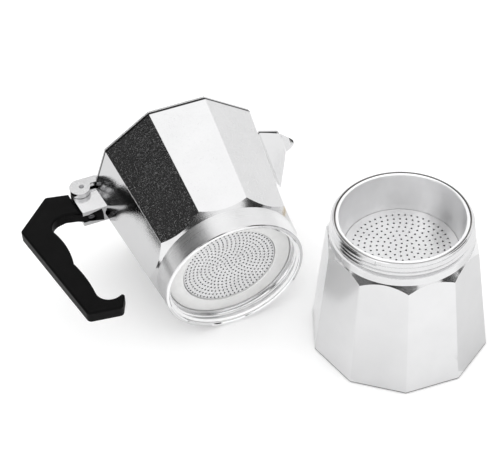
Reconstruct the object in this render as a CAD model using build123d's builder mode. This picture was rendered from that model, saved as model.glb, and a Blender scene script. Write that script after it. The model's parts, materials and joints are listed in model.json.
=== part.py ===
from build123d import *
from math import atan2, cos, degrees, pi, radians, sin
import os

# A ten-sided aluminium moka pot, taken apart to be filled. The boiler stands upright with its
# funnel in it, and the collector lies on one of its facets beside it, mouth towards the viewer.
# Row frame, in millimetres: the origin is the centre of the boiler's base, +Z is up, and +X runs
# from the collector's handle to its spout. The collector is drawn upright in the plane `pot`.

SIDES = 10
FACET = cos(pi / SIDES)         # a polygon's inner radius divided by its vertex radius

# Boiler
BOILER_TURN = -3.7              # direction of one vertical edge, in degrees from +X
BASE_R = 52.0                   # vertex radius at the base
SHOULDER_R = 43.1               # vertex radius where the turned shoulder starts
SHOULDER_Z = 69.4
NECK_R = 40.15
NECK_Z = 73.4                   # the shoulder's cone meets the neck here
EDGE_ROUND = 0.6                # rounding of the vertical edges between facets
BAND_TOP = 77.6                 # end of the plain band below the thread
RIM_Z = 86.8
FLOOR_Z = 4.5
NECK_BORE_R = 36.0
SEAT_R = 37.1                   # recess that holds the funnel's rim
SEAT_Z = 85.6

# Thread between the two halves
PITCH = 2.6
BOILER_ROOT_R = 38.0
BOILER_CREST_R = 39.2
COLLAR_ROOT_R = 39.6
COLLAR_CREST_R = 38.35

# Funnel
SHEET = 0.8
CUP_TOP_R = 34.6                # inside radius at the rim
CUP_FLOOR_R = 32.25             # inside radius at the perforated floor
CUP_FLOOR_Z = 63.4
STEM_R = 4.6
STEM_END_Z = 8.0
FUNNEL_RINGS = 8
FUNNEL_RING_STEP = 3.4
FUNNEL_HOLE_R = 0.6

# Safety valve, on a rear facet
VALVE_TURN = BOILER_TURN + 54
VALVE_Z = 42.0
BOSS_R = 9.5
BOSS_FACE = 46.0                # distance of the boss's face from the boiler's axis

# Collector, in its own upright frame: x to the spout, z from the collar's end to the lid
COLLECTOR_AT = (-85.5, 37.2)    # centre of the collar's end, seen from above
COLLAR_R = 41.94
COLLAR_TOP_R = 42.2
COLLAR_Z = 14.0                 # the collar's band ends here and the turned cone starts
LOW_R = 45.95                   # vertex radius where the facets start
LOW_Z = 18.17
TOP_R = 56.34                   # vertex radius at the rim
TOP_Z = 91.54
CHAMBER_Z = 17.5
RECESS_R = 37.6
RECESS_Z = 12.8
THREAD_Z = 7.6                  # depth of the threaded mouth
COLUMN_Z = 73.0

# Gasket and filter plate
GASKET_IN_R = 28.35
GASKET_R = 37.3
GASKET_Z = 8.6
PLATE_Z = 9.5                   # front face of the perforated disc
PLATE_RIM_Z = 12.0              # front face of its rim, behind the gasket
PLATE_SHEET = 0.6
PLATE_R = 37.1
PLATE_STEP_R = 28.05
PLATE_DISH = 1.9                # the perforated disc is dished by this much at its centre
PLATE_RINGS = 11
PLATE_RING_STEP = 2.436
PLATE_HOLE_R = 0.55

# Hinge, bracket and handle
HINGE_X = -62.5
HINGE_Z = 91.8
PIN_R = 1.5
PIN_CLEARANCE = 0.05
BRACKET_HALF = 5.9
SLOT_HALF = 2.9
SLOT_TOP = 86.0
SLOT_END = -55.1                # the slot's end nearest the pot
BRACKET_LOW = 74.6
EAR_IN = 6.2
EAR_OUT = 9.7
EAR_X = -63.6                   # the ears are rounded about a point behind the pin
EAR_R = 6.2
EAR_GAP = 4.5                   # from the hinge axis to the bridge between the ears
HINGE_BOSS_R = 4.0
EAR_TOP = HINGE_Z + EAR_R
HANDLE_HALF = 4.3
TANG_HALF = 2.85
HANDLE_ROUND = 1.3
SCREW_X = -62.0

# Lid and knob
LID_Z = 91.95
LID_EDGE = 1.85
LID_R = 56.1
ROOF_Z = 100.5
KNOB_Z = 102.0
KNOB_TOP = 124.0


def upright(plane):
    """The plane through the given plane's origin whose x is the radius and whose y is the height."""
    return Plane(origin=plane.origin, x_dir=plane.x_dir, z_dir=-plane.y_dir)


def turned(plane, outline, mode=Mode.ADD):
    """Turn a closed outline of (radius, height) points about the plane's normal."""
    with BuildSketch(upright(plane)) as section:
        with BuildLine():
            Polyline(*outline, close=True)
        make_face()
    revolve(section.sketch, axis=Axis(plane.origin, plane.z_dir), mode=mode)


def ten_sided(plane, low, high, rounding=0, mode=Mode.ADD):
    """Loft a ten-sided frustum between two (height, vertex radius) pairs."""
    sections = []
    for height, radius in (low, high):
        with BuildSketch(plane.offset(height)) as section:
            RegularPolygon(radius, SIDES)
            if rounding:
                fillet(section.vertices(), rounding)
        sections.append(section.sketch)
    loft(sections, mode=mode)


def helix_on(plane, pitch, start, end, radius):
    """A helix about the plane's normal, between two heights."""
    return Helix(pitch, end - start, radius, center=plane.offset(start).origin, direction=plane.z_dir)


def thread(plane, start, end, root, crest, half_root, half_crest):
    """Add a helical ridge that runs from the root radius to the crest radius."""
    bury = 0.4 if root < crest else -0.4
    with BuildLine():
        path = helix_on(plane, PITCH, start, end, root)
    across = Plane(origin=path @ 0, x_dir=(path @ 0) - plane.offset(start).origin, z_dir=path % 0)
    with BuildSketch(across) as tooth:
        Polygon(
            (-bury, -half_root),
            (crest - root, -half_crest),
            (crest - root, half_crest),
            (-bury, half_root),
            align=None,
        )
    sweep(tooth.sketch, path=path, is_frenet=True)


def hole_rings(rings, step, radius, start, twist):
    """Draw a centre hole and rings of holes, six more and a twist further on in each ring."""
    Circle(radius)
    for ring in range(1, rings + 1):
        with PolarLocations(ring * step, 6 * ring, start_angle=start + twist * ring):
            Circle(radius)


os.makedirs("parts", exist_ok=True)


def keep(builder, name):
    """Label a finished piece and write it to its own file."""
    builder.part.label = name
    export_step(builder.part, f"parts/{name}.step")


# The collector lies with a facet on the floor: its wall leans out by this much from the collar's
# end to the rim, so its axis is tilted up from the floor by the same angle.
lean = degrees(atan2(TOP_R * FACET - COLLAR_R, TOP_Z))
height = COLLAR_R * cos(radians(lean))

base = Plane.XY.rotated((0, 0, BOILER_TURN))
pot = Plane(
    origin=(*COLLECTOR_AT, height),
    x_dir=(1, 0, 0),
    z_dir=(0, cos(radians(lean)), sin(radians(lean))),
)
side = upright(pot)
valve_dir = Vector(cos(radians(VALVE_TURN)), sin(radians(VALVE_TURN)), 0)
valve = Plane(origin=(0, 0, VALVE_Z), x_dir=(0, 0, 1), z_dir=valve_dir)


def across_spout(x):
    """The plane across the spout, with the width as its x and the height as its y."""
    return Plane(origin=pot.origin + pot.x_dir * x, x_dir=pot.y_dir, z_dir=pot.x_dir)


# ---- Boiler: ten facets, a turned shoulder and neck, and a turned inside ----

def boiler_vertex(z):
    return BASE_R - (BASE_R - SHOULDER_R) * z / SHOULDER_Z


FOOT = 0.6                      # bevel around the base
shoulder_slope = (NECK_Z - SHOULDER_Z) / (SHOULDER_R - NECK_R)
shoulder_out = BASE_R + 2

with BuildPart() as boiler:
    foot, top = (FOOT, boiler_vertex(FOOT)), (NECK_Z, boiler_vertex(NECK_Z))
    ten_sided(base, (0, BASE_R - FOOT), foot, rounding=EDGE_ROUND)
    ten_sided(base, foot, top, rounding=EDGE_ROUND)
    turned(
        base,
        [
            (0, 0),
            (shoulder_out, 0),
            (shoulder_out, SHOULDER_Z - (shoulder_out - SHOULDER_R) * shoulder_slope),
            (NECK_R, NECK_Z),
            (0, NECK_Z),
        ],
        mode=Mode.INTERSECT,
    )
    turned(
        base,
        [
            (0, NECK_Z - 2),
            (NECK_R, NECK_Z - 2),
            (NECK_R, NECK_Z),
            (NECK_R - 0.2, BAND_TOP),
            (BOILER_ROOT_R, BAND_TOP + 0.7),
            (BOILER_ROOT_R, RIM_Z - 0.3),
            (BOILER_ROOT_R - 0.3, RIM_Z),
            (0, RIM_Z),
        ],
    )
    thread(base, BAND_TOP + 1.1, RIM_Z - 1.3, BOILER_ROOT_R, BOILER_CREST_R, 1.2, 0.25)
    with BuildSketch(valve.offset(BOSS_FACE)):
        Circle(BOSS_R)
    extrude(amount=-4)
    turned(
        base,
        [
            (0, FLOOR_Z),
            (41, FLOOR_Z),
            (44, FLOOR_Z + 1.2),
            (45.2, FLOOR_Z + 4.5),
            (37.5, 66),
            (NECK_BORE_R, 70),
            (NECK_BORE_R, SEAT_Z),
            (SEAT_R, SEAT_Z),
            (SEAT_R, RIM_Z + 1),
            (0, RIM_Z + 1),
        ],
        mode=Mode.SUBTRACT,
    )
    with BuildSketch(valve.offset(BOSS_FACE + 1)):
        Circle(5.0)
    extrude(amount=-10, mode=Mode.SUBTRACT)
keep(boiler, "boiler")

# ---- Safety valve: a brass body with a sprung piston on a seat ----

SHANK_IN = 39.0
SEAT_AT = 41.5
HEX_IN = BOSS_FACE + 1.2
HEX_OUT = HEX_IN + 6.0
CAP_IN = HEX_OUT + 0.7
BODY_OUT = HEX_OUT + 2.5

with BuildPart() as valve_washer:
    turned(valve, [(5.1, BOSS_FACE), (8.5, BOSS_FACE), (8.5, HEX_IN), (5.1, HEX_IN)])
keep(valve_washer, "valve_washer")

with BuildPart() as valve_body:
    with BuildSketch(valve.offset(HEX_IN)):
        RegularPolygon(7.0, 6, major_radius=False)
    extrude(amount=HEX_OUT - HEX_IN)
    turned(
        valve,
        [
            (0, HEX_IN),
            (8.4, HEX_IN),
            (8.4, HEX_OUT - 0.9),
            (6.9, HEX_OUT),
            (0, HEX_OUT),
        ],
        mode=Mode.INTERSECT,
    )
    turned(valve, [(0, SHANK_IN), (4.5, SHANK_IN), (4.98, SHANK_IN + 0.5), (4.98, HEX_IN), (0, HEX_IN)])
    turned(valve, [(0, HEX_OUT), (5.4, HEX_OUT), (5.4, BODY_OUT - 0.4), (5.0, BODY_OUT), (0, BODY_OUT)])
    turned(
        valve,
        [
            (0, SHANK_IN - 1),
            (1.75, SHANK_IN - 1),
            (1.75, SEAT_AT),
            (3.4, SEAT_AT),
            (3.4, CAP_IN),
            (4.2, CAP_IN),
            (4.2, BODY_OUT + 1),
            (0, BODY_OUT + 1),
        ],
        mode=Mode.SUBTRACT,
    )
keep(valve_body, "valve_body")

with BuildPart() as valve_cap:
    with BuildSketch(valve.offset(CAP_IN)):
        Circle(4.15)
        Circle(1.3, mode=Mode.SUBTRACT)
        with PolarLocations(2.5, 4):
            Circle(0.55, mode=Mode.SUBTRACT)
    extrude(amount=1.2)
keep(valve_cap, "valve_cap")

with BuildPart() as valve_seal:
    turned(valve, [(0, SEAT_AT), (2.9, SEAT_AT), (2.9, SEAT_AT + 0.8), (0, SEAT_AT + 0.8)])
keep(valve_seal, "valve_seal")

with BuildPart() as valve_piston:
    turned(
        valve,
        [
            (0, SEAT_AT + 0.8),
            (3.05, SEAT_AT + 0.8),
            (3.05, SEAT_AT + 2.2),
            (1.25, SEAT_AT + 2.2),
            (1.25, BODY_OUT + 1.6),
            (0.8, BODY_OUT + 2.1),
            (0, BODY_OUT + 2.1),
        ],
    )
keep(valve_piston, "valve_piston")

SPRING_R = 2.2
SPRING_WIRE_R = 0.25
SPRING_TURNS = 6
spring_in = SEAT_AT + 2.2 + SPRING_WIRE_R
spring_run = CAP_IN - SPRING_WIRE_R - spring_in

with BuildPart() as valve_spring:
    with BuildLine():
        coil = helix_on(valve, spring_run / SPRING_TURNS, spring_in, spring_in + spring_run, SPRING_R)
    with BuildSketch(Plane(origin=coil @ 0, z_dir=coil % 0)):
        Circle(SPRING_WIRE_R)
    sweep(path=coil, is_frenet=True)
keep(valve_spring, "valve_spring")

# ---- Funnel: a pressed cup, its stem, and a perforated floor ----

CUP_NECK_Z = 46.6
CUP_NECK_END = 40.0
LEDGE_R = 30.8
floor_low = CUP_FLOOR_Z - SHEET

with BuildPart() as funnel_cup:
    turned(
        base,
        [
            (CUP_TOP_R, RIM_Z - 0.6),
            (CUP_TOP_R + 0.15, RIM_Z - 0.1),
            (CUP_TOP_R + 0.55, RIM_Z + 0.2),
            (CUP_TOP_R + 1.05, RIM_Z + 0.3),
            (CUP_TOP_R + 1.55, RIM_Z + 0.15),
            (CUP_TOP_R + 1.95, RIM_Z - 0.25),
            (SEAT_R - 0.35, RIM_Z - 0.75),
            (SEAT_R - 0.35, SEAT_Z),
            (CUP_TOP_R + SHEET, SEAT_Z),
            (CUP_FLOOR_R + SHEET, floor_low - 0.6),
            (LEDGE_R + 0.4, floor_low - 1.6),
            (STEM_R + SHEET, CUP_NECK_Z - 0.7),
            (STEM_R + SHEET, CUP_NECK_END),
            (STEM_R, CUP_NECK_END),
            (STEM_R, CUP_NECK_Z),
            (LEDGE_R, floor_low - 0.7),
            (LEDGE_R, floor_low),
            (CUP_FLOOR_R, floor_low),
        ],
    )
keep(funnel_cup, "funnel_cup")

with BuildPart() as funnel_stem:
    turned(
        base,
        [
            (STEM_R - SHEET, STEM_END_Z),
            (STEM_R, STEM_END_Z),
            (STEM_R, CUP_NECK_Z),
            (STEM_R - SHEET, CUP_NECK_Z),
        ],
    )
keep(funnel_stem, "funnel_stem")

with BuildPart() as funnel_plate:
    with BuildSketch(Plane.XY.offset(floor_low)):
        Circle(CUP_FLOOR_R - 0.1)
    extrude(amount=SHEET)
    with BuildSketch(Plane.XY.offset(floor_low)):
        hole_rings(FUNNEL_RINGS, FUNNEL_RING_STEP, FUNNEL_HOLE_R, 51.3, 5.6)
    extrude(amount=SHEET, mode=Mode.SUBTRACT)
keep(funnel_plate, "funnel_plate")

# ---- Collector: facets, turned collar, chamber, column, spout and bracket in one casting ----


def collector_vertex(z):
    return LOW_R + (TOP_R - LOW_R) * (z - LOW_Z) / (TOP_Z - LOW_Z)


CONE_SLOPE = (LOW_R - COLLAR_TOP_R) / (LOW_Z - COLLAR_Z)
CHAMBER_LOW_R = 42.0
CHAMBER_TOP_R = 52.95
RIDGE_SLOPE = 26.5 / 14.8       # rise of the spout's lower ridge along x


def spout_section(x, low, high, half_low, half_high):
    """A section across the spout, narrow at its ridge and wide at its top."""
    with BuildSketch(across_spout(x)) as section:
        Polygon((-half_low, low), (half_low, low), (half_high, high), (-half_high, high), align=None)
    return section.sketch


with BuildPart() as collector:
    # Outside: facets trimmed by the turned cone, and the round collar
    facets_from = 6.0
    ten_sided(pot, (facets_from, collector_vertex(facets_from)), (TOP_Z, TOP_R), rounding=EDGE_ROUND)
    cone_out = TOP_R + 4
    turned(
        pot,
        [
            (0, facets_from),
            (COLLAR_R, facets_from),
            (COLLAR_TOP_R, COLLAR_Z),
            (cone_out, COLLAR_Z + (cone_out - COLLAR_TOP_R) / CONE_SLOPE),
            (cone_out, TOP_Z),
            (0, TOP_Z),
        ],
        mode=Mode.INTERSECT,
    )
    turned(
        pot,
        [(0, 0), (COLLAR_R - 0.4, 0), (COLLAR_R, 0.4), (COLLAR_TOP_R, COLLAR_Z), (0, COLLAR_Z)],
    )
    # Spout: a V that grows out of one vertical edge
    loft(
        [
            spout_section(50, 52.85, TOP_Z, 0.6, 13.8),
            spout_section(66, 52.85 + 16 * RIDGE_SLOPE, 90.4, 0.6, 7.2),
        ],
        ruled=True,
    )
    loft(
        [
            spout_section(66, 52.85 + 16 * RIDGE_SLOPE, 90.4, 0.6, 7.2),
            spout_section(70.5, 83.6, 88.5, 0.6, 4.2),
            spout_section(73, 85.7, 87.2, 0.6, 2.1),
        ],
        ruled=True,
    )
    # Bracket on the opposite edge, with the hinge boss above it
    with BuildSketch(side):
        Polygon(
            (-50, BRACKET_LOW),
            (-67.4, BRACKET_LOW),
            (-69.9, 91.2),
            (-67.0, 93.4),
            (-59.6, 90.8),
            (-50, 90.8),
            align=None,
        )
        with Locations((HINGE_X, HINGE_Z)):
            Circle(HINGE_BOSS_R)
    extrude(amount=BRACKET_HALF, both=True)
    # Chamber, open at the rim, and the spout's channel
    ten_sided(pot, (CHAMBER_Z, CHAMBER_LOW_R), (TOP_Z + 1, CHAMBER_TOP_R), mode=Mode.SUBTRACT)
    loft(
        [
            spout_section(44, 53, 94, 0.4, 13.0),
            spout_section(66, 84.4, 94, 0.4, 6.6),
        ],
        ruled=True,
        mode=Mode.SUBTRACT,
    )
    loft(
        [
            spout_section(66, 84.4, 94, 0.4, 6.6),
            spout_section(76, 87.2, 94, 0.4, 2.2),
        ],
        ruled=True,
        mode=Mode.SUBTRACT,
    )
    # Column that carries the coffee up, closed at the top with two windows below its cap
    turned(
        pot,
        [
            (0, CHAMBER_Z - 1),
            (11.5, CHAMBER_Z - 1),
            (11.5, CHAMBER_Z),
            (8.6, CHAMBER_Z + 4),
            (6.4, COLUMN_Z - 4),
            (5.2, COLUMN_Z - 1),
            (0, COLUMN_Z),
        ],
    )
    # Mouth: thread bore, gasket recess, and the way up the column
    turned(
        pot,
        [
            (0, -1),
            (COLLAR_ROOT_R + 0.5, -1),
            (COLLAR_ROOT_R + 0.5, 0),
            (COLLAR_ROOT_R, 0.5),
            (COLLAR_ROOT_R, THREAD_Z),
            (RECESS_R, THREAD_Z + 0.5),
            (RECESS_R, RECESS_Z),
            (8.0, RECESS_Z + 1.6),
            (5.6, CHAMBER_Z + 3),
            (4.2, COLUMN_Z - 6),
            (0, COLUMN_Z - 4),
        ],
        mode=Mode.SUBTRACT,
    )
    thread(pot, 1.3, 6.4, COLLAR_ROOT_R, COLLAR_CREST_R, 1.2, 0.25)
    with BuildSketch(side):
        with Locations((0, COLUMN_Z - 9)):
            Rectangle(3.6, 6.5)
    extrude(amount=10, both=True, mode=Mode.SUBTRACT)
    # Slot for the handle's tang, the screw's hole above it, and the hinge pin's bore
    with BuildSketch(side):
        Polygon(
            (SLOT_END, BRACKET_LOW - 2),
            (SLOT_END, SLOT_TOP),
            (-80, SLOT_TOP),
            (-80, BRACKET_LOW - 2),
            align=None,
        )
    extrude(amount=SLOT_HALF, both=True, mode=Mode.SUBTRACT)
    with BuildSketch(pot.offset(SLOT_TOP - 1)):
        with Locations((SCREW_X, 0)):
            Circle(1.5)
    extrude(amount=4.5, mode=Mode.SUBTRACT)
    with BuildSketch(side):
        with Locations((HINGE_X, HINGE_Z)):
            Circle(PIN_R)
    extrude(amount=BRACKET_HALF + 1, both=True, mode=Mode.SUBTRACT)
keep(collector, "collector")

# ---- Gasket and filter plate in the collar ----

with BuildPart() as gasket:
    turned(
        pot,
        [
            (GASKET_IN_R, GASKET_Z + 0.3),
            (GASKET_IN_R + 0.3, GASKET_Z),
            (GASKET_R - 0.5, GASKET_Z),
            (GASKET_R, GASKET_Z + 0.5),
            (GASKET_R, PLATE_RIM_Z),
            (GASKET_IN_R, PLATE_RIM_Z),
        ],
    )
keep(gasket, "gasket")

DISH_R = PLATE_STEP_R - 0.8     # the disc is flat outside this radius
DISH_STEPS = 6


def dish(face):
    """One face of the dished disc, as points of (radius, height) from its centre outwards."""
    radii = [DISH_R * step / DISH_STEPS for step in range(DISH_STEPS + 1)]
    return [(radius, face + PLATE_DISH * (1 - (radius / DISH_R) ** 2)) for radius in radii]


with BuildPart() as filter_plate:
    turned(
        pot,
        [
            *dish(PLATE_Z),
            (PLATE_STEP_R - 0.3, PLATE_Z),
            (PLATE_STEP_R, PLATE_Z + 0.3),
            (PLATE_STEP_R, PLATE_RIM_Z),
            (PLATE_R, PLATE_RIM_Z),
            (PLATE_R, PLATE_RIM_Z + PLATE_SHEET),
            (PLATE_STEP_R - PLATE_SHEET, PLATE_RIM_Z + PLATE_SHEET),
            *reversed(dish(PLATE_Z + PLATE_SHEET)),
        ],
    )
    with BuildSketch(pot.offset(PLATE_Z - 1)):
        hole_rings(PLATE_RINGS, PLATE_RING_STEP, PLATE_HOLE_R, 17.2, -3.35)
    extrude(amount=PLATE_DISH + PLATE_SHEET + 2, mode=Mode.SUBTRACT)
keep(filter_plate, "filter_plate")

# ---- Handle: a flat moulded grip with two finger waves, and a thinner tang in the bracket ----

HANDLE_BLEND = 2.0              # rounding where the hook, the finger waves and the arm meet
HEAD_LOW = 75.4                 # the handle screw's head, sunk into the tang
HEAD_TOP = 77.8
TANG_LOW = 72.6                 # the tang's corner nearest the pot
SCREW_R = 1.5

with BuildPart() as handle:
    with BuildSketch(side) as profile:
        with BuildLine():
            outer = FilletPolyline(
                (-70.6, 94.0),
                (-84.3, 96.7),
                (-105.0, 76.0),
                (-86.5, 3.5),
                (-66.8, 0.8),
                (-61.9, 11.6),
                (-66.5, 9.5),
                radius=(2.5, 3.0, 3.0, 2.5, 1.35),
            )
            hook = ThreePointArc(outer @ 1, (-73.6, 10.0), (-77.7, 16.0))
            lower_wave = ThreePointArc(hook @ 1, (-79.0, 27.0), (-83.0, 41.5))
            upper_wave = ThreePointArc(lower_wave @ 1, (-82.9, 54.5), (-87.0, 69.0))
            corner = ThreePointArc(upper_wave @ 1, (-85.7, 75.0), (-81.0, 78.0))
            Polyline(corner @ 1, (-77.3, 78.8), (-68.1, 76.9), outer @ 0)
        make_face()
        for joint in (hook @ 0, hook @ 1, lower_wave @ 1, corner @ 0, corner @ 1):
            fillet(profile.vertices().sort_by_distance(joint)[0], HANDLE_BLEND)
    extrude(amount=HANDLE_HALF, both=True)
    fillet(handle.faces().filter_by(side).edges(), HANDLE_ROUND)
    with BuildSketch(side):
        Polygon(
            (-73.0, SLOT_TOP - 0.1),
            (SLOT_END - 0.2, SLOT_TOP - 0.1),
            (SLOT_END - 0.2, TANG_LOW),
            (-67.3, 75.4),
            (-73.0, 77.9),
            align=None,
        )
    extrude(amount=TANG_HALF, both=True)
    with BuildSketch(pot.offset(TANG_LOW)):
        with Locations((SCREW_X, 0)):
            Circle(2.6)
    extrude(amount=HEAD_TOP - TANG_LOW, mode=Mode.SUBTRACT)
    with BuildSketch(pot.offset(HEAD_TOP - 1)):
        with Locations((SCREW_X, 0)):
            Circle(SCREW_R + 0.1)
    extrude(amount=SLOT_TOP - HEAD_TOP + 2, mode=Mode.SUBTRACT)
keep(handle, "handle")

with BuildPart() as handle_screw:
    with BuildSketch(pot.offset(HEAD_LOW)):
        with Locations((SCREW_X, 0)):
            Circle(2.5)
    extrude(amount=HEAD_TOP - HEAD_LOW)
    chamfer(handle_screw.edges().group_by(Axis(pot.origin, pot.z_dir))[0], 0.5)
    with BuildSketch(pot.offset(HEAD_TOP)):
        with Locations((SCREW_X, 0)):
            Circle(SCREW_R)
    extrude(amount=SLOT_TOP + 3.0 - HEAD_TOP)
    with BuildSketch(pot.offset(HEAD_LOW)):
        with Locations((SCREW_X, 0)):
            Rectangle(6, 0.8)
    extrude(amount=1.0, mode=Mode.SUBTRACT)
keep(handle_screw, "handle_screw")

# ---- Lid: a shallow ten-sided roof with a tongue over the spout and two hinge ears ----

ROOF_FLAT_R = 14.0
LID_WALL = 1.7

with BuildPart() as lid:
    ten_sided(pot, (LID_Z, LID_R), (LID_Z + LID_EDGE, LID_R), rounding=EDGE_ROUND)
    ten_sided(pot, (LID_Z + LID_EDGE, LID_R - 1.0), (ROOF_Z, ROOF_FLAT_R), rounding=EDGE_ROUND)
    turned(pot, [(0, ROOF_Z - 1), (9.5, ROOF_Z - 1), (8.6, KNOB_Z), (0, KNOB_Z)])
    with BuildSketch(pot.offset(LID_Z)) as tongue:
        Polygon((46, -14.5), (65.5, -7.4), (65.5, 7.4), (46, 14.5), align=None)
        fillet(tongue.vertices().group_by(Axis.X)[-1], 2.0)
    extrude(amount=LID_EDGE)
    with BuildSketch(side):
        Polygon(
            (EAR_X, EAR_TOP),
            (-53.0, EAR_TOP),
            (-44.0, 95.2),
            (-44.0, LID_Z + 0.8),
            (-57.2, LID_Z + 0.1),
            (EAR_X, HINGE_Z),
            align=None,
        )
        with Locations((EAR_X, HINGE_Z)):
            Circle(EAR_R)
    extrude(amount=EAR_OUT, both=True)
    with BuildSketch(side):
        with Locations((HINGE_X + EAR_GAP - 10, HINGE_Z)):
            Rectangle(20, 20)
        with Locations((HINGE_X, LID_Z - 10)):
            Rectangle(30, 20)
    extrude(amount=EAR_IN, both=True, mode=Mode.SUBTRACT)
    ten_sided(
        pot,
        (LID_Z - 0.1, LID_R - 3.8),
        (ROOF_Z - LID_WALL, ROOF_FLAT_R - 1.0),
        mode=Mode.SUBTRACT,
    )
    with BuildSketch(side):
        with Locations((HINGE_X, HINGE_Z)):
            Circle(PIN_R + PIN_CLEARANCE)
    extrude(amount=EAR_OUT + 1, both=True, mode=Mode.SUBTRACT)
    with BuildSketch(pot.offset(ROOF_Z - 4)):
        Circle(2.2)
    extrude(amount=8, mode=Mode.SUBTRACT)
keep(lid, "lid")

with BuildPart() as hinge_pin:
    with BuildSketch(side):
        with Locations((HINGE_X, HINGE_Z)):
            Circle(PIN_R)
    extrude(amount=EAR_OUT + 0.4, both=True)
    chamfer(hinge_pin.edges().filter_by(GeomType.CIRCLE), 0.35)
keep(hinge_pin, "hinge_pin")

# ---- Knob: a ten-sided moulding with a brass insert, held by a screw through the lid ----

KNOB_BOTTOM_R = 8.4
KNOB_WIDE_R = 12.0
KNOB_WIDE_Z = 119.0
INSERT_R = 3.2
INSERT_TOP = 113.0
THREAD_R = 2.0
UNDER_LID = ROOF_Z - LID_WALL

with BuildPart() as knob:
    ten_sided(pot, (KNOB_Z, KNOB_BOTTOM_R), (KNOB_WIDE_Z, KNOB_WIDE_R))
    ten_sided(pot, (KNOB_WIDE_Z, KNOB_WIDE_R), (KNOB_TOP, 7.0))
    turned(
        pot,
        [(0, KNOB_Z - 1), (INSERT_R, KNOB_Z - 1), (INSERT_R, INSERT_TOP), (0, INSERT_TOP)],
        mode=Mode.SUBTRACT,
    )
keep(knob, "knob")

with BuildPart() as knob_insert:
    turned(
        pot,
        [
            (THREAD_R, KNOB_Z + 0.1),
            (INSERT_R, KNOB_Z + 0.1),
            (INSERT_R, INSERT_TOP),
            (0, INSERT_TOP),
            (0, INSERT_TOP - 1.2),
            (THREAD_R, INSERT_TOP - 1.2),
        ],
    )
keep(knob_insert, "knob_insert")

with BuildPart() as knob_washer:
    turned(
        pot,
        [(2.2, UNDER_LID - 0.8), (5.5, UNDER_LID - 0.8), (5.5, UNDER_LID), (2.2, UNDER_LID)],
    )
keep(knob_washer, "knob_washer")

with BuildPart() as knob_screw:
    turned(
        pot,
        [
            (0, UNDER_LID - 3.2),
            (3.0, UNDER_LID - 3.2),
            (4.0, UNDER_LID - 2.2),
            (4.0, UNDER_LID - 0.8),
            (THREAD_R, UNDER_LID - 0.8),
            (THREAD_R, INSERT_TOP - 2.2),
            (0, INSERT_TOP - 2.2),
        ],
    )
    with BuildSketch(pot.offset(UNDER_LID - 3.2)):
        Rectangle(9, 1.0)
    extrude(amount=1.2, mode=Mode.SUBTRACT)
keep(knob_screw, "knob_screw")
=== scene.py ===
import json
from math import cos, radians, sin

import bpy
from mathutils import Matrix, Vector


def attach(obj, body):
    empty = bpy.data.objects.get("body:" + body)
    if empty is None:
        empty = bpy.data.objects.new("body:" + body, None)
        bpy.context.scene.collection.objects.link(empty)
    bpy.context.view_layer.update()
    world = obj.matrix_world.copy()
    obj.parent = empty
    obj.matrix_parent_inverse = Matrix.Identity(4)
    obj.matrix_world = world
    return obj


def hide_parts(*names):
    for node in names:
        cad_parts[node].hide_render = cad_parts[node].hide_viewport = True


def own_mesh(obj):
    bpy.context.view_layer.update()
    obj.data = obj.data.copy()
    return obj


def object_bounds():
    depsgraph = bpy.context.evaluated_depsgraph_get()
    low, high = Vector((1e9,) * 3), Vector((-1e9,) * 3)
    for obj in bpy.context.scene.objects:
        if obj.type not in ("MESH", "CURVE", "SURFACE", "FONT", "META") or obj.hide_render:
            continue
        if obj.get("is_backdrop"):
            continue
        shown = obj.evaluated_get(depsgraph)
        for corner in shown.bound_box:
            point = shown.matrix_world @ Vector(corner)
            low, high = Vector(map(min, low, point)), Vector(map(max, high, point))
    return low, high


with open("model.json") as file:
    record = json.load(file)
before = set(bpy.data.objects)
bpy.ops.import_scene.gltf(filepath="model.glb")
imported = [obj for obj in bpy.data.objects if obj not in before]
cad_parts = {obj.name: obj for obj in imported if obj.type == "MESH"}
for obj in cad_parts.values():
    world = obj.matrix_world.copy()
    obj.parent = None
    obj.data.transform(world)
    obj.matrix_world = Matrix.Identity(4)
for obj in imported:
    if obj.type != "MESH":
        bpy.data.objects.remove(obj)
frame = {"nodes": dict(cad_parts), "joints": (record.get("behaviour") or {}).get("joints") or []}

cad_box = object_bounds()
scene = bpy.context.scene
scene.view_settings.view_transform = "Standard"
joints = {joint["name"]: joint for joint in frame["joints"]}

UP = (0.0, 0.0, 1.0)
WHITE = (1.0, 1.0, 1.0, 1.0)

# Each half's own frame, in metres: its origin, its side, its up, and the axis it was turned about.
# The lying collector's origin is the centre of the collar's end, its height runs to the lid, and
# its up is the normal of the facet on top.
BOILER_AXES = (Vector((0, 0, 0)), Vector((1, 0, 0)), Vector((0, 1, 0)), Vector((0, 0, 1)))
POT_AXES = (
    Vector((-0.0855, 0.0372, 0.041605)),
    Vector((1.0, 0.0, 0.0)),
    Vector(joints["lid_hinge"]["axis"]),
    -Vector(joints["plate_slide"]["axis"]),
)


# ---- Camera: above the handle's side of the pot, looking down at both halves ----

def place_camera():
    target = Vector((-0.0470, 0.1167, 0.0))
    distance = 0.8232
    azimuth, elevation, roll = radians(-19.307), radians(42.313), radians(-3.701)
    back = Vector((sin(azimuth) * cos(elevation), -cos(azimuth) * cos(elevation), sin(elevation)))
    right = Vector((cos(azimuth), sin(azimuth), 0.0))
    up = back.cross(right)
    rolled_right = right * cos(roll) + up * sin(roll)
    rolled_up = up * cos(roll) - right * sin(roll)
    data = bpy.data.cameras.new("camera")
    data.sensor_width = 36.0
    data.lens = 92.24
    data.clip_start = 0.05
    data.clip_end = 50.0
    camera = bpy.data.objects.new("camera", data)
    camera.matrix_world = Matrix((rolled_right, rolled_up, back)).transposed().to_4x4()
    camera.matrix_world.translation = target + back * distance
    scene.collection.objects.link(camera)
    scene.camera = camera


place_camera()


# ---- Shader nodes ----

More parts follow.
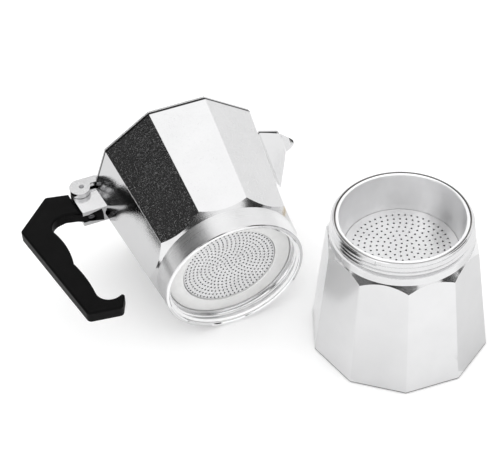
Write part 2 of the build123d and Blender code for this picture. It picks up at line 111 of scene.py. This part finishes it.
def set_inputs(tree, made, inputs):
    """Give a node's inputs, by name or number: each is a value, or the socket that feeds it."""
    for name, value in dict(inputs).items():
        if isinstance(value, bpy.types.NodeSocket):
            tree.links.new(value, made.inputs[name])
        else:
            made.inputs[name].default_value = value


def node(tree, kind, inputs=(), **settings):
    made = tree.nodes.new("ShaderNode" + kind)
    for name, value in settings.items():
        setattr(made, name, value)
    set_inputs(tree, made, inputs)
    return made


def start_material(name):
    """A new material, its node tree, and its shader."""
    material = bpy.data.materials.new(name)
    material.use_nodes = True
    return material, material.node_tree, material.node_tree.nodes["Principled BSDF"]


def surface_place(tree):
    return node(tree, "TexCoord").outputs["Object"]


def surface_normal(tree):
    return node(tree, "TexCoord").outputs["Normal"]


def calculate(tree, operation, *values):
    return node(tree, "Math", enumerate(values), operation=operation).outputs[0]


def dot(tree, vector, direction):
    made = node(tree, "VectorMath", {0: vector, 1: direction}, operation="DOT_PRODUCT")
    return made.outputs["Value"]


def between(tree, value, low, high, to_low=0.0, to_high=1.0):
    """Map a value from one range to another, and hold it inside that range."""
    inputs = {
        "Value": value,
        "From Min": low,
        "From Max": high,
        "To Min": to_low,
        "To Max": to_high,
    }
    return node(tree, "MapRange", inputs).outputs["Result"]


def noise(tree, vector, scale, detail=3.0, roughness=0.5):
    inputs = {"Vector": vector, "Scale": scale, "Detail": detail, "Roughness": roughness}
    return node(tree, "TexNoise", inputs).outputs["Fac"]


def relief(tree, strength, depth, height):
    """The normal of a fine relief, which is a pattern's height times a depth in metres."""
    inputs = {"Strength": strength, "Distance": depth, "Height": height}
    return node(tree, "Bump", inputs).outputs["Normal"]


def mix(tree, factor, first, second):
    return node(tree, "Mix", {0: factor, 2: first, 3: second}, data_type="FLOAT").outputs[0]


def mix_colour(tree, factor, first, second):
    first, second = (
        colour if isinstance(colour, bpy.types.NodeSocket) else (*colour, 1.0)
        for colour in (first, second)
    )
    return node(tree, "Mix", {0: factor, 6: first, 7: second}, data_type="RGBA").outputs[2]


# ---- Studio: a white surround, two soft lights, and dark cards that only polished metal sees ----

MIDDLE = (-0.06, 0.06, 0.04)
FLOOR_WIDTH = 8.0
CARD_HEIGHT = 0.0005                # of the cards that lie on the floor


def aim(piece, front, place, towards):
    """Put a piece at a place, with its front towards a point."""
    piece.location = place
    gaze = Vector(towards) - Vector(place)
    piece.rotation_euler = gaze.to_track_quat(front, "Y").to_euler()
    scene.collection.objects.link(piece)


def panel(name, place, towards, width, height, material):
    """A flat rectangle that faces a point."""
    mesh = bpy.data.meshes.new(name)
    x, y = width / 2, height / 2
    mesh.from_pydata([(-x, -y, 0), (x, -y, 0), (x, y, 0), (-x, y, 0)], [], [(0, 1, 2, 3)])
    mesh.materials.append(material)
    piece = bpy.data.objects.new(name, mesh)
    aim(piece, "Z", place, towards)
    piece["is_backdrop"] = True
    return piece


def soft_light(name, place, size, watts):
    data = bpy.data.lights.new(name, "AREA")
    data.shape = "RECTANGLE"
    data.size, data.size_y = size
    data.energy = watts
    aim(bpy.data.objects.new(name, data), "-Z", place, MIDDLE)


def dark_card(name, place, size, grey, towards=MIDDLE):
    """A card that darkens reflections, and neither shows nor shades anything else."""
    material, tree, shader = start_material(name)
    matte = {"Base Color": (grey, grey, grey, 1.0), "Roughness": 1.0, "Specular IOR Level": 0.0}
    set_inputs(tree, shader, matte)
    card = panel(name, place, towards, *size, material)
    card.visible_camera = False
    card.visible_diffuse = False
    card.visible_shadow = False


def make_floor():
    material, tree, shader = start_material("floor")
    speckle = noise(tree, surface_place(tree), 900.0)
    set_inputs(tree, shader, {
        "Base Color": (0.95, 0.95, 0.95, 1.0),
        "Roughness": 0.9,
        "Normal": relief(tree, 0.02, 0.0002, speckle),
        "Emission Color": WHITE,
        "Emission Strength": 0.13,
    })
    panel("floor", (0.0, 0.0, 0.0), UP, FLOOR_WIDTH, FLOOR_WIDTH, material)


world = bpy.data.worlds.new("studio")
scene.world = world
world.use_nodes = True
surround = world.node_tree.nodes["Background"]
set_inputs(world.node_tree, surround, {"Color": WHITE, "Strength": 1.2})

soft_light("overhead", (0.10, 0.30, 1.30), (1.1, 1.1), 0.62)
soft_light("side", (-1.0, -0.5, 0.9), (0.6, 0.6), 0.5)

# Standing cards: each one's place, its width and height, and its grey
for name, place, size, grey in (
    ("card_left", (-0.80, 0.42, 0.69), (0.66, 0.88), 0.032),
    ("card_low_left", (-0.86, 0.66, 0.16), (0.36, 0.26), 0.52),
    ("card_far_left", (-0.92, -0.13, 0.44), (0.50, 0.22), 0.12),
    ("card_front_left", (-0.70, -0.55, 0.53), (0.64, 0.28), 0.02),
    ("card_front", (-0.30, -0.84, 0.60), (0.50, 0.24), 0.02),
    ("card_right", (0.62, -0.68, 0.44), (0.44, 0.30), 0.02),
    ("card_far_right", (0.90, -0.38, 0.41), (0.46, 0.40), 0.03),
    ("card_wall", (1.00, 0.62, 0.30), (0.70, 0.55), 0.86),
    ("card_back", (0.25, 0.85, 0.80), (0.60, 0.50), 0.70),
):
    dark_card(name, place, size, grey)

# Cards that lie on the floor and face up
for name, (x, y), size, grey in (
    ("card_by_handle", (-0.24, 0.16), (0.28, 0.28), 0.80),
    ("card_by_boiler", (0.149, -0.005), (0.261, 0.13), 0.87),
    ("card_before_boiler", (-0.09, -0.085), (0.14, 0.11), 1.0),
):
    dark_card(name, (x, y, CARD_HEIGHT), size, grey, (x, y, 1.0))

make_floor()


# ---- Where a finish begins and ends, as masks from nothing to one ----

EDGE = 0.0001                       # how softly one finish gives way to the next, in metres
CAVITY_EDGE = 0.0004
SEAM_SIDE = -0.0570                 # painted shade stops here, short of the lid's hinge

# A slant is nothing where a surface runs along the axis, and one where it lies across it
LEAST_SLOPE, MOST_SLOPE = (0.3, 0.4), (0.98, 0.9)
# The band of painted shade fades out between these slants, off faces that lie across the axis
MOST_SHADED_SLANT = (0.9, 0.8)
FACING_ALONG = (0.05, 0.1)
DUSTY_TILT = (0.4, 0.6)


def both(tree, first, second):
    return calculate(tree, "MULTIPLY", first, second)


def over(tree, length, limit):
    return between(tree, length, limit, limit + EDGE)


def under(tree, length, limit):
    return between(tree, length, limit, limit - EDGE)


def in_band(tree, length, low, high):
    return both(tree, over(tree, length, low), under(tree, length, high))


def own_axes(tree, origin, side, up, axis):
    """The position in a turned part's own frame: as a vector, from its axis and along it."""
    inputs = {0: surface_place(tree), 1: origin}
    place = node(tree, "VectorMath", inputs, operation="SUBTRACT").outputs[0]
    across, above, along = (dot(tree, place, direction) for direction in (side, up, axis))
    squares = (calculate(tree, "MULTIPLY", length, length) for length in (across, above))
    radius = calculate(tree, "SQRT", calculate(tree, "ADD", *squares))
    return place, radius, along


def rings(tree, radius, along, scale):
    """Turning marks: a pattern that changes with radius and height, and not around the axis."""
    spot = node(tree, "CombineXYZ", {"X": radius, "Y": along})
    return noise(tree, spot.outputs[0], scale, 4.0, 0.6)


# ---- Materials ----

# Brighter turned metal in the mouth, raised further as a painted highlight
BORE_COLOUR_AND_HIGHLIGHT = (0.90, 0.90, 0.905)
# Old coffee, darkened as painted shade so what shows through a perforated plate reads dark
COFFEE_AND_SHADE = (0.24, 0.23, 0.22)
COFFEE_FILM_AND_SHADE = (0.10, 0.10, 0.10)
# Dark colour of painted shade: the gap under the lid and the edge the boiler stands on
PAINTED_SHADE_COLOUR = (0.05, 0.05, 0.05)
CASTING_ROUGHNESS = 0.5
SLOPE_ROUGHNESS = 0.14


def cast_aluminium(
    name, axes, seam, shine, tone, turned=None, cavity=None, bore=None, stain_and_shade=None
):
    """Polished facets, turned ends with fine rings, and a duller casting inside.

    Heights are along the axis. Facets give way to turned metal between turned's two heights, and
    on slopes. The cavity is where the radius is under cavity's start plus its slope times the
    height. The bore is the turned mouth, under a radius and a height; its colour is brighter turned
    metal, raised further as a painted highlight. Old coffee lies between two heights and two radii,
    darkened as painted shade so what shows through a plate's holes reads dark. A dark band of
    painted shade, for the gap under the lid or the edge it stands on, sits in the seam, between its
    two heights. The shine is the lowest and highest roughness of the turned metal, and the tone its
    colour where it is clean."""
    material, tree, shader = start_material(name)
    side, axis = axes[1], axes[3]
    place, radius, along = own_axes(tree, *axes)
    normal = surface_normal(tree)
    grain = noise(tree, place, 1000.0, 4.0, 0.7)
    wear = between(tree, noise(tree, place, 45.0, 5.0, 0.6), 0.35, 0.7)

    # Where each finish is: slopes and turned ends, the cavity, the bore with its painted highlight,
    # old coffee with painted shade, and the band of painted shade
    slant = calculate(tree, "ABSOLUTE", dot(tree, normal, axis))
    on_slope = both(
        tree, between(tree, slant, *LEAST_SLOPE), between(tree, slant, *MOST_SLOPE)
    )
    on_end = between(tree, along, *turned) if turned else 0.0
    ringed = calculate(tree, "MAXIMUM", on_end, on_slope)
    inside = mouth = stained_and_shaded = 0.0
    if cavity:
        start, slope = cavity
        line = calculate(tree, "MULTIPLY_ADD", along, slope, start)
        inside = between(tree, calculate(tree, "SUBTRACT", line, radius), 0.0, CAVITY_EDGE)
    # The mouth and its end face, painted brighter as a highlight
    if bore:
        wide, deep = bore
        mouth = both(tree, under(tree, radius, wide), under(tree, along, deep))
    # Old coffee, darkened as painted shade
    if stain_and_shade:
        heights, radii = stain_and_shade
        stained_and_shaded = both(tree, in_band(tree, along, *heights), in_band(tree, radius, *radii))
    # Painted shade: a dark band in the gap under the lid and at the boiler's foot, short of the
    # hinge and off faces across the axis
    beside = over(tree, dot(tree, place, side), SEAM_SIDE)
    in_reach = both(tree, beside, between(tree, slant, *MOST_SHADED_SLANT))
    painted_shade = both(tree, in_band(tree, along, *seam), in_reach)

    # Relief: a fine even grain on the facets, rings on the turned metal, sand texture inside
    waves = noise(tree, place, 70.0, 2.0, 0.5)
    fine = calculate(tree, "MULTIPLY", grain, 1.6)
    facet_height = calculate(tree, "MULTIPLY_ADD", waves, 2.5, fine)
    broad, narrow = (rings(tree, radius, along, scale) for scale in (450.0, 2600.0))
    ring_height = calculate(tree, "MULTIPLY_ADD", broad, 0.35, narrow)
    ring_height = calculate(tree, "MULTIPLY", ring_height, 0.5)
    sand = calculate(tree, "MULTIPLY", noise(tree, place, 700.0, 5.0, 0.7), 3.0)
    height = mix(tree, inside, mix(tree, ringed, facet_height, ring_height), sand)

    # Roughness: handling wear in soft patches, dust on what faces up, streaks along the rings
    dusty = between(tree, dot(tree, normal, UP), *DUSTY_TILT)
    spots = both(tree, dusty, between(tree, grain, 0.44, 0.66, 0.0, 0.24))
    facet_rough = calculate(tree, "ADD", between(tree, wear, 0.0, 1.0, 0.05, 0.10), spots)
    ring_rough = between(tree, rings(tree, radius, along, 900.0), 0.3, 0.7, *shine)
    ring_rough = mix(tree, on_slope, ring_rough, SLOPE_ROUGHNESS)
    bore_rough = calculate(tree, "MULTIPLY", ring_rough, 0.4)
    turned_rough = mix(tree, mouth, ring_rough, bore_rough)
    rough = mix(tree, ringed, facet_rough, turned_rough)

    worn = tone - 0.03
    colour = mix_colour(tree, wear, (tone, tone, tone + 0.005), (worn, worn, tone - 0.025))
    # painted highlight on the mouth
    colour = mix_colour(tree, mouth, colour, BORE_COLOUR_AND_HIGHLIGHT)
    # old coffee with painted shade
    colour = mix_colour(tree, stained_and_shaded, colour, COFFEE_AND_SHADE)
    set_inputs(tree, shader, {
        # painted shade laid over the colour
        "Base Color": mix_colour(tree, painted_shade, colour, PAINTED_SHADE_COLOUR),
        "Metallic": 1.0,
        "Roughness": mix(tree, inside, rough, CASTING_ROUGHNESS),
        "Normal": relief(tree, 0.35, 0.00006, height),
    })
    return material


def pressed_aluminium(name, axes, grain_scale, shine, colour, stain_and_shade_under=0.0):
    """Spun or pressed sheet: satin, with faint rings about its axis.

    The shine is its lowest and highest roughness. Surfaces that face along the axis, under the
    height stain_and_shade_under, are dark with old coffee and painted shade, so the holes in front
    of them read dark."""
    material, tree, shader = start_material(name)
    place, radius, along = own_axes(tree, *axes)
    streaks = rings(tree, radius, along, 1400.0)
    pitting = noise(tree, place, grain_scale, 5.0, 0.65)
    height = calculate(tree, "MULTIPLY_ADD", streaks, 1.5, pitting)
    wear = between(tree, noise(tree, place, 60.0, 4.0, 0.55), 0.35, 0.7)
    dullness = calculate(tree, "MULTIPLY_ADD", streaks, 0.4, calculate(tree, "MULTIPLY", wear, 0.6))
    facing_along = between(tree, dot(tree, surface_normal(tree), axes[3]), *FACING_ALONG)
    # Old coffee film, darkened as painted shade for what shows through the holes
    stained_and_shaded = both(tree, facing_along, under(tree, along, stain_and_shade_under))
    darker = tuple(value * 0.95 for value in colour)
    clean = mix_colour(tree, wear, colour, darker)
    set_inputs(tree, shader, {
        "Base Color": mix_colour(tree, stained_and_shaded, clean, COFFEE_FILM_AND_SHADE),
        "Metallic": 1.0,
        "Roughness": between(tree, dullness, 0.1, 0.8, *shine),
        "Normal": relief(tree, 0.3, 0.00005, height),
    })
    return material


def black_plastic(name):
    """Moulded phenolic: a satin skin with a fine orange peel and slight rub marks."""
    material, tree, shader = start_material(name)
    place = surface_place(tree)
    peel = noise(tree, place, 1300.0, 3.0, 0.55)
    swell = noise(tree, place, 140.0, 2.0, 0.5)
    height = calculate(tree, "MULTIPLY_ADD", swell, 1.5, peel)
    rub = between(tree, noise(tree, place, 50.0, 5.0, 0.6), 0.4, 0.75)
    set_inputs(tree, shader, {
        "Base Color": mix_colour(tree, rub, (0.002, 0.002, 0.0021), (0.0035, 0.0035, 0.0036)),
        "Roughness": between(tree, rub, 0.0, 1.0, 0.42, 0.32),
        "Specular IOR Level": 0.06,
        "Normal": relief(tree, 0.25, 0.00006, height),
    })
    return material


def soft_rubber(name, colour, scuffed):
    """Matte rubber with a fine moulded grain and pale scuffs."""
    material, tree, shader = start_material(name)
    place = surface_place(tree)
    grain = noise(tree, place, 1100.0, 4.0, 0.6)
    scuffs = between(tree, noise(tree, place, 90.0, 5.0, 0.65), 0.4, 0.7)
    set_inputs(tree, shader, {
        "Base Color": mix_colour(tree, scuffs, colour, scuffed),
        "Roughness": between(tree, scuffs, 0.0, 1.0, 0.5, 0.65),
        "Normal": relief(tree, 0.3, 0.00008, grain),
    })
    return material


def small_metal(name, colour, rough_low, rough_high):
    """Turned or drawn fittings: fine scratches and uneven shine."""
    material, tree, shader = start_material(name)
    place = surface_place(tree)
    scratches = noise(tree, place, 2600.0, 4.0, 0.7)
    tarnish = between(tree, noise(tree, place, 220.0, 4.0, 0.6), 0.35, 0.7)
    darker = tuple(value * 0.85 for value in colour)
    set_inputs(tree, shader, {
        "Base Color": mix_colour(tree, tarnish, colour, darker),
        "Metallic": 1.0,
        "Roughness": between(tree, tarnish, 0.0, 1.0, rough_low, rough_high),
        "Normal": relief(tree, 0.3, 0.00004, scratches),
    })
    return material


CUP_COLOUR = (0.93, 0.93, 0.935)
SHEET_COLOUR = (0.80, 0.80, 0.805)
GASKET_WHITE, GASKET_SCUFF = (0.81, 0.81, 0.805), (0.75, 0.75, 0.74)
SEAL_RED, SEAL_SCUFF = (0.42, 0.06, 0.04), (0.5, 0.1, 0.07)
ZINC = (0.6, 0.6, 0.62)

finishes = {
    "boiler": cast_aluminium(
        "cast_boiler",
        BOILER_AXES,
        turned=(0.0725, 0.0735),                        # above the facets
        cavity=(0.0475, -0.115),
        seam=(-0.001, 0.0010),                          # painted shade along the edge it stands on, for its contact shadow
        stain_and_shade=((0.0850, 0.0880), (0.0365, 0.0373)),     # around the funnel's rim
        shine=(0.12, 0.22),
        tone=0.69,
    ),
    "collector": cast_aluminium(
        "cast_collector",
        POT_AXES,
        turned=(0.0145, 0.0140),                        # the collar
        cavity=(0.0370, 0.135),
        seam=(0.0909, 0.0917),                          # painted shade under the lid, in the gap over the body
        # the mouth and its end face, painted brighter as a highlight
        bore=(0.0416, 0.0150),
        stain_and_shade=((0.0122, 0.0170), (-EDGE, 0.0280)),      # old coffee behind the filter plate, darkened as painted shade so its holes read dark
        shine=(0.24, 0.36),
        tone=0.69,
    ),
    "lid": cast_aluminium(
        "cast_lid",
        POT_AXES,
        # painted shade along the lid's lower edge, in its gap over the body
        seam=(0.0918, 0.0927),
        shine=(0.2, 0.3),
        tone=0.64,
    ),
    # faces under 61.8 mm: old coffee film, darkened as painted shade so the punched floor's holes
    # read dark
    "funnel_cup": pressed_aluminium(
        "spun_cup", BOILER_AXES, 900.0, (0.27, 0.40), CUP_COLOUR, stain_and_shade_under=0.0618
    ),
    "funnel_stem": pressed_aluminium("drawn_stem", BOILER_AXES, 900.0, (0.26, 0.4), SHEET_COLOUR),
    "funnel_plate": pressed_aluminium(
        "punched_floor", BOILER_AXES, 600.0, (0.36, 0.5), SHEET_COLOUR
    ),
    "filter_plate": pressed_aluminium("punched_plate", POT_AXES, 600.0, (0.34, 0.48), SHEET_COLOUR),
    "handle": black_plastic("handle_plastic"),
    "knob": black_plastic("knob_plastic"),
    "gasket": soft_rubber("gasket_rubber", GASKET_WHITE, GASKET_SCUFF),
    "valve_seal": soft_rubber("seal_rubber", SEAL_RED, SEAL_SCUFF),
    "valve_washer": soft_rubber("washer_rubber", SEAL_RED, SEAL_SCUFF),
    "valve_body": small_metal("valve_brass", (0.74, 0.61, 0.40), 0.25, 0.4),
    "valve_cap": small_metal("cap_brass", (0.72, 0.59, 0.39), 0.28, 0.42),
    "knob_insert": small_metal("insert_brass", (0.72, 0.52, 0.26), 0.3, 0.45),
    "handle_screw": small_metal("screw_steel", (0.25, 0.25, 0.26), 0.35, 0.5),
    # darkened below steel's colour as painted shade for the recess around the pin's end
    "hinge_pin": small_metal("pin_steel_painted_shade", (0.30, 0.30, 0.31), 0.2, 0.35),
    "valve_spring": small_metal("spring_steel", ZINC, 0.25, 0.4),
    "valve_piston": small_metal("piston_steel", (0.65, 0.65, 0.66), 0.22, 0.36),
    "knob_washer": small_metal("washer_steel", ZINC, 0.25, 0.4),
    "knob_screw": small_metal("knob_screw_steel", ZINC, 0.25, 0.4),
}
for name, material in finishes.items():
    mesh = frame["nodes"][name].data
    mesh.materials.clear()
    mesh.materials.append(material)


# ---- The safety valve's spring: a copy of its coil on the boiler, in place of the CAD part ----

coil_node = frame["nodes"]["valve_spring"]
coil = bpy.data.objects.new("valve_spring_coil", coil_node.data.copy())
coil.matrix_world = coil_node.matrix_world.copy()
scene.collection.objects.link(coil)
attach(coil, "boiler")
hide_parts("valve_spring")
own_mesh(coil)

size = {"cad": [list(c) for c in cad_box], "visual": [list(c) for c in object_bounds()]}
